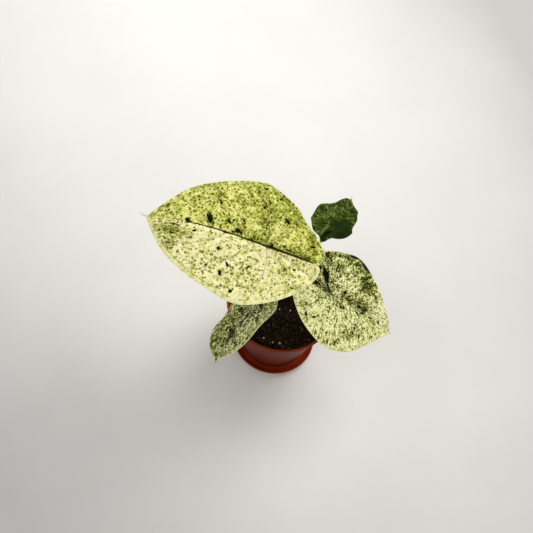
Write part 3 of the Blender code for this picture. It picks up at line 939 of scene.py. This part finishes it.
def blade_mesh(name, leaf, marks):
    """The blade with its veins, as a closed sheet that is ribbed beneath."""
    starts, lefts, rights, veins, junction_row = rib_rows(leaf)
    rows = len(starts)
    across = leaf["across"]
    q = np.linspace(0, 1, across + 1)
    shares = 0.3 * q + 0.7 * (0.5 - 0.5 * np.cos(math.pi * q))
    grids = []
    vein_lines = []
    for side, half, counts in ((1, "L", lefts), (-1, "R", rights)):
        outer = margin(leaf["left" if side == 1 else "right"], side, counts)
        inner = np.column_stack((starts, np.zeros(rows)))
        ray = outer - inner
        back = np.clip((counts - counts[junction_row]) / (notch_count - counts[junction_row]), 0, 1)
        bow = 0.10 * np.minimum(1, counts / 1.5) * (1 - back) ** 2
        behind = np.column_stack((-np.abs(ray[:, 1]), side * ray[:, 0]))
        humps = 4 * shares * (1 - shares) * (1.25 - 0.5 * shares)
        grid = inner[:, None] + ray[:, None] * shares[None, :, None]
        grid = grid + behind[:, None] * (bow[:, None] * humps[None, :])[:, :, None]
        grids.append(grid)
        vein_lines += [grid[row] for row in veins[half]]

    flat = np.vstack([grid.reshape(-1, 2) for grid in grids])
    lengths = [np.linalg.norm(grid[:, -1] - grid[:, 0], axis=1) for grid in grids]
    run = np.concatenate([(length[:, None] * shares[None, :]).ravel() for length in lengths])
    mean_margin = sum(np.linalg.norm(np.diff(grid[:, -1], axis=0), axis=1) for grid in grids) / 2
    turn_round = np.concatenate(((0.0,), np.cumsum(mean_margin)))
    fan = np.concatenate([np.repeat(turn_round, across + 1)] * 2)
    share_out = np.concatenate([np.tile(shares, rows)] * 2)

    keys = np.round(flat * 1e7).astype(np.int64)
    _, first, merged = np.unique(keys, axis=0, return_index=True, return_inverse=True)
    merged = merged.ravel()
    flat, run, fan, share_out = flat[first], run[first], fan[first], share_out[first]

    quads = []
    for h, side in enumerate((1, -1)):
        base = h * rows * (across + 1)
        for i in range(rows - 1):
            for j in range(across):
                a = base + i * (across + 1) + j
                corners = (a, a + across + 1, a + across + 2, a + 1)
                quads.append(corners if side == -1 else corners[::-1])
    quads = merged[np.array(quads)]
    faces = []
    for corners in quads:
        face = list(dict.fromkeys(int(c) for c in corners))
        if len(face) > 2:
            faces.append(face)

    outline = np.vstack((grids[0][:, -1], grids[1][::-1, -1]))
    angles = np.arctan2(outline[:, 1], outline[:, 0])
    sorting = np.argsort(angles)
    reach = np.interp(
        np.arctan2(flat[:, 1], flat[:, 0]), angles[sorting], np.linalg.norm(outline, axis=1)[sorting],
        period=math.tau,
    )
    ring_share = np.clip(np.linalg.norm(flat, axis=1) / np.maximum(reach, 1e-9), 0, 1)
    points = bent(leaf, flat, ring_share)

    vein = np.full(len(flat), np.inf)
    for line in vein_lines:
        vein = np.minimum(vein, near_line(flat, line))
    midrib = np.where(flat[:, 0] > 0, np.abs(flat[:, 1]), np.hypot(flat[:, 0], flat[:, 1]))
    seam = np.where(flat[:, 0] < 0, np.abs(flat[:, 1]), np.linalg.norm(flat, axis=1))
    edge = near_line(flat, outline)

    # Sunk along its veins, thin at the margin, grooved above and ribbed beneath
    normals = surface_normals(points, faces)
    size = leaf["left"][0][0] / leaves[0]["left"][0][0]
    quilt = -0.00055 * size * np.exp(-(vein / 0.0045) ** 2)
    quilt -= 0.0006 * size * np.exp(-(midrib / 0.0050) ** 2)
    quilt -= 0.00045 * np.exp(-edge / 0.0014)
    calm = np.clip((leaf["left"][0][0] - flat[:, 0]) / drip_length, 0, 1)
    points = points + normals * (quilt * calm)[:, None]
    normals = surface_normals(points, faces)
    fading = np.clip(1 - flat[:, 0] / leaf["left"][0][0], 0, 1) ** 0.7
    back_fade = np.clip(1 + flat[:, 0] / 0.02, 0, 1)
    thickness = 0.00030 - 0.00012 * np.exp(-edge / 0.0020)
    groove = 0.00010 * np.exp(-(vein / 0.0005) ** 2) * (1 - 0.6 * share_out)
    groove += 0.00030 * np.exp(-(midrib / 0.0009) ** 2) + 0.00012 * np.exp(-(seam / 0.0006) ** 2)
    ridge = 0.00075 * size * np.exp(-(vein / 0.0009) ** 2) * (1 - share_out) ** 0.6
    ridge = np.maximum(ridge, rib_depth * fading * back_fade * np.exp(-(midrib / 0.0016) ** 2))
    ridge = np.maximum(ridge, rib_depth * np.exp(-(np.linalg.norm(flat, axis=1) / 0.0030) ** 4))
    top = points + normals * (thickness - np.minimum(groove, 0.0003))[:, None]
    bottom = points - normals * (thickness + ridge * calm)[:, None]

    count = len(points)
    rim_keys = [merged[i * (across + 1) + across] for i in range(rows)]
    other = rows * (across + 1)
    rim_keys += [merged[other + i * (across + 1) + across] for i in range(rows - 1, -1, -1)]
    rim = list(dict.fromkeys(int(k) for k in rim_keys))
    under = [[count + c for c in face[::-1]] for face in faces]
    wall = [
        (rim[k], count + rim[k], count + rim[(k + 1) % len(rim)], rim[(k + 1) % len(rim)])
        for k in range(len(rim))
    ]
    turn = leaf_turn(leaf)
    placed = np.vstack((top, bottom)) @ np.array(turn).T + np.array(leaf["junction"])
    mesh = bpy.data.meshes.new(name)
    mesh.from_pydata(placed.tolist(), [], faces + under + wall)
    greens_and_shade = soft_patches(flat * 1000, marks["clouds"])
    glow = soft_patches(flat * 1000, marks["glows"])
    upper = np.ones(count)
    for title, columns in (
        ("marks", (greens_and_shade, glow, upper)),
        ("flat", (flat[:, 0] * 1000, flat[:, 1] * 1000, edge * 1000)),
        ("fibre", (run * 1000, fan * 1000, vein * 1000)),
    ):
        on_top = np.column_stack(columns)
        beneath = on_top * (1.0, 1.0, 0.0) if title == "marks" else on_top
        values = mesh.attributes.new(title, "FLOAT_VECTOR", "POINT")
        values.data.foreach_set("vector", np.vstack((on_top, beneath)).astype(np.float32).ravel())
    piece = linked(name, mesh)
    alone(piece)
    bpy.ops.object.shade_smooth_by_angle(angle=math.radians(60.0))
    return piece


def surface_normals(points, faces):
    """Unit normals of an open sheet at its points."""
    normals = np.zeros_like(points)
    triangles = []
    for face in faces:
        for k in range(1, len(face) - 1):
            triangles.append((face[0], face[k], face[k + 1]))
    triangles = np.array(triangles)
    corners = points[triangles]
    flat_normals = np.cross(corners[:, 1] - corners[:, 0], corners[:, 2] - corners[:, 0])
    for corner in range(3):
        np.add.at(normals, triangles[:, corner], flat_normals)
    return normals / np.maximum(np.linalg.norm(normals, axis=1), 1e-12)[:, None]


# Markings on the flat blade, in millimetres and degrees, as (along the midrib, out to the left, half
# length, half width, turn). clouds are soft green patches, and on the fourth blade's right half
# painted shade as well, and glows yellow ones, with a strength at the end, and a cloud with a
# strength below 0 is pale. blots are dark and crisp.
markings = (
    dict(
        clouds=(
            (91, 11, 20, 8, -15, 0.9), (88, 26, 8, 5, -30, 0.8), (66, 8, 8, 5, -15, 0.4),
            (90, -15, 13, 8, 45, 0.4), (66, -43, 20, 4, 25, 0.6), (16, -40, 33, 22, 0, 0.5),
            (10, -28, 24, 4, -70, 0.8), (30, -10, 8, 7, -10, 0.5), (42, -13, 3, 6, 20, 0.8),
            (50, -31, 8, 6, 20, 0.4), (7, -4, 13, 6, -15, 0.8), (-11, -40, 8, 7, -35, 0.6),
            (-20, -43, 32, 4, -40, 0.8), (-34, -4, 23, 4, 0, 1), (-45, -15, 8, 6, -20, 0.6),
            (-22, 22, 8, 10, 20, 0.6), (-39, 32, 11, 3, 20, 0.9), (-15, 12, 4, 5, 20, 0.7),
            (14, 36, 6, 6, 20, 0.4), (42, 23, 8, 6, 60, 0.4), (-35, 10, 8, 4, 0, 0.5),
            (-31, -34, 10, 4, -45, 0.5), (73, -24, 19, 11, 20, -0.4), (51, -28, 9, 15, 15, -0.4),
            (42, -42, 7, 12, 10, -0.3), (20, -22, 10, 12, 10, -0.2), (57, 13, 19, 8, -15, -0.4),
            (72, 31, 11, 7, -20, -0.4), (72, -20, 26, 15, 20, -0.4), (50, 44, 12, 8, 10, -0.2),
            (-24, 5, 24, 2, -15, -0.6), (106, 6, 7, 7, 5, 0.6), (-32, 35, 9, 5, 25, 0.7),
            (78, 17, 11, 5, 35, 0.8), (-9, -3, 12, 4, 0, 0.7), (-42, -24, 12, 6, -55, 0.8),
            (54, -35, 5, 5, 0, 0.6), (-19, -36, 13, 7, 10, 0.6), (24, -36, 15, 10, 65, -0.3),
            (8, -7, 12, 5, -50, -0.4), (-18, 9, 12, 5, 40, -0.4), (54, -46, 12, 6, 0, -0.3),
            (-27, -32, 13, 6, -30, -0.2),
        ),
        glows=(
            (-27, -19, 12, 9, 0, 1), (-42, -19, 6, 8, 20, 0.6), (65, -19, 13, 12, 15, 0.4),
            (16, -40, 39, 24, 10, 0.4), (80, -17, 13, 10, 15, 0.4),
        ),
        blots=(
            (58, -10, 5.5, 2.5, -60), (77, -2, 3, 2, -50), (74, -1, 1.5, 1, -10), (100, -15, 2, 1.5, 60),
            (53, -29, 2.5, 1, -60), (40, -12, 2.5, 1, -40), (36, -15, 1.5, 1, 50), (30, -6, 2.5, 2, -10),
            (26, -4, 2, 1, -60), (33, -3, 1.5, 1, 20), (40, 0, 2, 1.5, 10), (68, 9, 2, 1, 40),
            (88, 6, 3.5, 1, -10), (42, 20, 2, 1.5, 80), (48, 39, 1.5, 1, 60), (30, 33, 2.5, 1, -60),
            (34, 43, 2.5, 1.5, -70), (20, 56, 1.5, 1.5, 60), (27, -18, 1.5, 1, -60), (27, -45, 1, 1, 20),
            (15, -58, 1.5, 1, 20), (-1, -53, 1.5, 1, 20), (-13, -33, 3.5, 1.5, -40), (4, -25, 1.5, 1, 80),
            (-17, -7, 1.5, 1, 20), (-5, -3, 2.5, 1.5, 70), (-44, -17, 2.5, 1, 10), (-32, 15, 1.5, 1, 0),
            (11, 29, 2, 1, 70), (12, -39, 2.5, 1, 70),
        ),
    ),
    dict(
        clouds=(
            (34, 35, 22, 11, -30, 0.8), (44, 26, 9, 8, -25, 0.8), (32, 9, 22, 6, 5, 0.8),
            (44, 6, 10, 7, 5, 0.9), (14, 7, 6, 5, 30, 0.9), (-17, 16, 10, 7, -45, 0.8),
            (-19, 3, 11, 6, -10, 0.7), (-19, 31, 7, 10, -5, 0.8), (9, 45, 17, 7, 5, 0.8),
            (18, -7, 9, 3, 10, 0.7), (12, -22, 8, 7, -30, 0.2), (33, -34, 26, 6, 35, 0.4),
            (-16, -36, 7, 8, 25, 0.3), (65, 0, 9, 6, 25, 0.4), (38, 33, 15, 11, -35, 1.3),
            (-6, 1, 11, 6, -25, 1.1), (-1, 31, 9, 7, 0, 0.8), (-22, 13, 5, 4, -70, 1.2),
            (16, -43, 12, 7, 35, -0.4), (24, -21, 18, 9, -15, -0.3), (63, 9, 14, 11, -35, -0.3),
            (19, 22, 12, 8, -5, -0.2), (42, -40, 18, 5, 40, -0.3), (-32, -30, 14, 6, -50, -0.3),
            (6, -28, 14, 10, 10, -0.2),
        ),
        glows=(),
        blots=(
            (12, 51, 7.5, 2.5, 10), (27, 48, 6.5, 3, -20), (-13, 14, 7.5, 3, -50), (-5, 4, 5, 1.5, -40),
            (-20, 2, 6, 1, -10), (-18, 5, 6.5, 0.5, -10), (-22, -1, 5.5, 1, -10), (-23, 18, 2.5, 1.5, -50),
            (0, 2, 2, 1, 30), (46, 6, 3.5, 2.5, 30), (39, 5, 2, 1.5, 30), (-18, -35, 1.5, 2, 30),
            (-9, -34, 2.5, 1, 20), (42, -21, 2, 1, -80), (68, -18, 1.5, 1, 20), (58, 1, 3, 1, 10),
            (52, -5, 2.5, 0.5, -30), (40, -4, 2.5, 1, -10), (26, -45, 2, 1, -80), (54, 25, 1.5, 1, 30),
            (16, 10, 2.5, 1.5, 30), (19, -8, 3.5, 1, 10), (-22, 34, 2, 1.5, -30), (-15, 32, 2, 1, -30),
            (-7, 41, 2, 1.5, 30), (4, 45, 1.5, 1.5, 30), (-4, 26, 1, 2, 30), (42, -26, 1, 2, 30),
            (51, -26, 1, 2.5, 30), (65, -3, 1, 2.5, 30), (71, 2, 1, 2, 30),
        ),
    ),
    dict(
        clouds=(
            (4, 3, 31, 20, -50, 0.8), (32, 3, 16, 10, -20, 0.9), (46, -22, 18, 12, 35, 0.9),
            (60, -6, 16, 6, 60, 0.7), (24, -22, 10, 13, -20, 0.7), (63, -2, 5, 4, 55, 1.3),
            (20, -24, 14, 10, -55, -0.5), (23, 29, 12, 6, -25, -0.4),
        ),
        glows=(),
        blots=(
            (34, 5, 7, 3, -20), (42, 2, 3, 2.5, 0), (5, -9, 3, 2.5, -60), (11, 14, 2, 3, -40),
            (19, 12, 2.5, 2, -30), (29, -10, 4, 1.5, -40), (12, 31, 1.5, 1, -80), (-3, 25, 2, 1.5, -80),
            (37, 10, 3, 1.5, -80), (42, 22, 2, 1, -80),
        ),
    ),
    dict(
        clouds=(
            # Painted shade: the dark clouds on the right half darken the half that leans away from the
            # light.
            (5, -12, 13, 12, -50, 1), (1, -21, 12, 7, -50, 0.9), (-13, -4, 12, 6, -5, 0.9),
            (-4, 9, 6, 6, -45, 0.6), (32, -10, 4, 6, -45, 0.7), (-6, -14, 14, 6, -60, 1.2),
            (8, 12, 11, 7, -15, -0.3),
        ),
        glows=(),
        blots=(
            (13, 15, 1.5, 1, 60), (29, 5, 1.5, 1, 60), (30, -10, 1.5, 1.5, -60), (-10, -6, 4.5, 1.5, -20),
        ),
    ),
)


def splashed(name, marks, seed, look):
    """A blade's skin: a pale ground splashed with green in clouds, flecks and dark blots; on the fourth
    blade some dark clouds are painted shade.
    """
    coat = Coat(name)
    flat_place = coat.written("flat")
    x, y, edge = coat.split(flat_place)
    run, fan, vein = coat.split(coat.written("fibre"))
    greens_and_shade, glow, upper = coat.split(coat.written("marks"))
    left = y.above(-0.15, 0.15)
    flat = coat.joined(x, y, seed)
    fibre = coat.joined(run * look["stretch"], fan * 0.55, left * 300.0 + seed)

    def spots(layer, scale):
        """Scattered middles in a layer of their own, as the distance from the nearest."""
        return coat.cells(coat.joined(x, y, seed + layer), scale)

    # Splashes: noise of several sizes, part of it drawn out along the veins
    broad = coat.cloud(flat, 0.06)
    mottle = coat.cloud(flat, look["mottle_scale"], 3.0, 0.9)
    streaks = coat.cloud(fibre, look["coarse"], 2.0, 0.7)
    fine = coat.cloud(flat, 0.58, 1.0, 0.6)
    drops = spots(3.0, look["drop_scale"]).below(0.08, 0.46)
    right_green, left_green = look["ground"]
    ground = right_green + left * (left_green - right_green) + greens_and_shade * look["cover"]
    ground = ground + (broad - 0.5) * 0.35
    uneven = (mottle - 0.5) * look["mottle"] + (streaks - 0.5) * look["streaks"]
    uneven = uneven + (fine - 0.5) * look["grit"] + (drops - 0.12) * look["drops"]
    calm = 1.0 - greens_and_shade.most(0.0).least(1.0) * look["calm"]
    tone = coat.ramp(ground + uneven * calm, look["light"])
    shine = (glow * 0.9 + (1.0 - left) * look["yellow"]).least(1.0)
    tone = coat.mix(shine, tone, tint(252, 255, 208), "MULTIPLY")

    # Small round marks, and dark blots with ragged edges
    nearest = None
    for along, out, long, wide, turned in marks["blots"]:
        sockets = {"Vector": flat_place, "Location": (along, out, 0.0), "Scale": (long, wide, 1000.0)}
        sockets["Rotation"] = (0.0, 0.0, math.radians(turned))
        placed = coat.node("ShaderNodeMapping", {"vector_type": "TEXTURE"}, sockets)
        off = coat.node("ShaderNodeVectorMath", {"operation": "LENGTH"}, {0: placed}, 1)
        nearest = off if nearest is None else nearest.least(off)
    ragged = coat.cloud(flat, 0.9, 3.0, 0.6)
    blot = (nearest + (ragged - 0.5) * 2.4 + (fine - 0.5) * 0.8).below(0.98, 1.28)
    dotted = (spots(5.0, 0.12) + (fine - 0.5) * 0.3).below(0.085, 0.135)
    specks = spots(9.0, 0.24) + (mottle - 0.5) * 1.8 + 0.06 - ground * 0.2
    rounds = spots(13.0, 0.17) + (mottle - 0.5) * 0.5 + (fine - 0.5) * 0.25
    tone = coat.mix(rounds.below(0.20, 0.46) * look["rounds"], tone, tint(176, 184, 76))
    tone = coat.mix(rounds.below(0.13, 0.22) * look["rounds"], tone, look["speck"])
    tone = coat.mix(specks.below(0.13, 0.27) * look["specks"], tone, look["speck"])
    tone = coat.mix(blot.most(dotted * look["dots"]), tone, look["dark"])

    # Veins: a fine line each, a vein just inside the margin, and the dark midrib
    fine_line = vein.below(look["width"] * 0.45, look["width"]) * edge.above(2.6, 4.2)
    line_tone = coat.mix(left, look["right_line"], look["left_line"])
    tone = coat.mix(fine_line * look["lines"], tone, line_tone)
    tone = coat.mix(edge.below(2.6, 4.2) * look["band"] * left, tone, tint(238, 234, 168))
    rim_line = abs(edge - 4.2).below(0.35, 0.95) * mottle.above(0.42, 0.56)
    tone = coat.mix(rim_line * look["rim"], tone, look["rim_tone"])
    thick = look["thick"]
    reach = (x + (mottle - 0.5) * 20.0).below(look["reach"] - 4.0, look["reach"]) * x.above(-1.0, 0.5)
    middle = abs(y + 0.3) + x * look["taper"] + (fine - 0.5) * 1.4
    middle = middle.below(thick, thick + 0.6) * reach
    behind = abs(y - look["seam_off"]) - x * 0.012 + (mottle - 0.5) * 2.4
    behind = behind.below(thick + 0.4, thick + 1.2) * x.below(-0.5, 0.5) * edge.above(1.5, 5.0)
    tone = coat.mix(middle.most(behind * look["behind"]) * look["middle"], tone, look["dark"])
    if look["pair"]:
        beside_seam = abs(abs(y - 0.3) - 1.0).below(0.25, 0.65) * x.below(-3.0, 1.0) * edge.above(1.0, 3.0)
        tone = coat.mix(beside_seam * look["pair"], tone, tint(136, 152, 84))
    tone = coat.mix(x.above(look["tip"] - 3.0, look["tip"] + 2.0) * 0.85, tone, look["tip_tone"])
    tone = coat.mix(edge.below(0.5, 1.2) * look["pale_edge"], tone, tint(232, 230, 182))

    # The underside is paler, and pores and fine lines give the skin its relief
    tone = coat.mix(upper.above(0.4, 0.6), coat.mix(0.45, tone, tint(190, 194, 128)), tone)
    pores = coat.cloud(flat, 3.2, 2.0, 0.6)
    lines = abs(coat.cloud(coat.joined(run * 0.10, fan * 0.8, left * 50.0), 1.0) - 0.5)
    relief = pores * 0.12 + lines.below(0.0, 0.05) * -0.35 + coat.cloud(flat, 0.35) * 0.8
    return coat.finish(
        Base_Color=tone, Roughness=0.44 + pores * 0.10, Specular_IOR_Level=0.04,
        Normal=coat.bump(relief, 0.0005),
    )


def shades(*tones):
    """A ramp's stops, each from (value, red, green, blue)."""
    return tuple((value, tint(*colour)) for value, *colour in tones)


# The looks. light: tones from pale to green. ground: how green the right and left halves are.
# cover: what a cloud adds. calm: how far it stills the noise. mottle, streaks, grit, drops: noise
# from large to small. rounds, specks, dots: small marks. width, lines: the veins' width and
# strength. rim, band: the vein inside the margin. middle, behind, pair: the midrib's dark line and
# the seam's marks. reach, taper, thick: the dark line's length and width. tip: where the tip pales.
pale_look = dict(
    light=shades(
        (0.05, 249, 244, 194), (0.20, 238, 235, 172), (0.32, 218, 218, 148), (0.41, 190, 192, 118),
        (0.48, 158, 161, 86), (0.55, 122, 127, 54), (0.64, 84, 91, 24), (0.76, 42, 51, 6),
        (0.92, 10, 20, 1),
    ),
    speck=tint(56, 66, 14), dark=tint(8, 14, 2), ground=(0.31, 0.31), cover=0.36, calm=0.30,
    mottle=1.6, mottle_scale=0.14, streaks=1.0, stretch=0.26, coarse=0.50, grit=1.6,
    drops=0.15, drop_scale=0.40, yellow=0.2, rounds=0.0, specks=0.8, dots=0.9,
    width=0.42, lines=0.35, left_line=tint(214, 212, 150), right_line=tint(210, 208, 146),
    rim=0.2, rim_tone=tint(120, 124, 70), band=0.0, pale_edge=0.8,
    middle=0.6, thick=0.65, reach=22.0, taper=0.02, behind=0.8, seam_off=0.8, pair=0.0,
    tip=92.0, tip_tone=tint(216, 210, 160),
)
looks = (
    dict(
        light=shades(
            (0.05, 248, 241, 188), (0.20, 240, 234, 172), (0.31, 227, 223, 154), (0.39, 207, 205, 130),
            (0.46, 184, 185, 100), (0.54, 152, 155, 66), (0.64, 114, 119, 34), (0.77, 72, 80, 12),
            (0.92, 26, 36, 3),
        ),
        speck=tint(88, 96, 18), dark=tint(8, 18, 2), ground=(0.36, 0.24), cover=0.36, calm=0.0,
        mottle=1.5, mottle_scale=0.10, streaks=0.3, stretch=0.45, coarse=0.40, grit=0.85,
        drops=0.42, drop_scale=0.30, yellow=0.75, rounds=0.75, specks=0.85, dots=0.95,
        width=0.60, lines=0.75, left_line=tint(176, 160, 120), right_line=tint(132, 116, 70),
        rim=0.7, rim_tone=tint(160, 158, 84), band=0.5, pale_edge=0.35,
        middle=0.95, thick=1.0, reach=76.0, taper=0.009, behind=1.0, seam_off=-0.6, pair=0.0,
        tip=115.0, tip_tone=tint(222, 218, 176),
    ),
    pale_look,
    # The third blade lies under the first: its darker ground and dark tip are partly a denser green and
    # partly painted shade.
    dict(
        pale_look, speck=tint(40, 46, 6), dark=tint(4, 8, 0), ground=(0.45, 0.40), cover=0.14, calm=0.0,
        mottle=1.7, mottle_scale=0.15, streaks=1.1, stretch=0.30, grit=1.8, drops=0.0, yellow=0.3,
        behind=0.3, tip=64.0, tip_tone=tint(74, 80, 36),
    ),
    dict(
        pale_look,
        light=shades(
            (0.10, 136, 150, 88), (0.28, 98, 114, 42), (0.40, 70, 86, 22), (0.50, 50, 65, 11),
            (0.62, 32, 46, 5), (0.82, 16, 28, 1),
        ),
        speck=tint(28, 40, 4), dark=tint(5, 12, 0), ground=(0.46, 0.46), cover=0.22, calm=0.75,
        mottle=1.0, mottle_scale=0.15, streaks=1.2, stretch=0.22, coarse=0.55, grit=0.8,
        drops=0.0, specks=0.5, dots=0.2,
        width=0.40, lines=0.15, left_line=tint(96, 108, 50), right_line=tint(60, 74, 24),
        rim=0.1, rim_tone=tint(40, 52, 20), pale_edge=0.0, middle=0.0, behind=0.0, pair=0.75,
        tip=45.0, tip_tone=tint(196, 200, 140),
    ),
)
for i, leaf in enumerate(leaves):
    blade = blade_mesh(f"blade_{i + 1}", leaf, markings[i])
    skin = splashed(f"blade_skin_{i + 1}", markings[i], 7.3 * i, looks[i])
    slot = "dark_leaf" if i == len(leaves) - 1 else "cream_leaf"
    handed_in(blade, slot, f"leaf_{i + 1}", finish=skin)
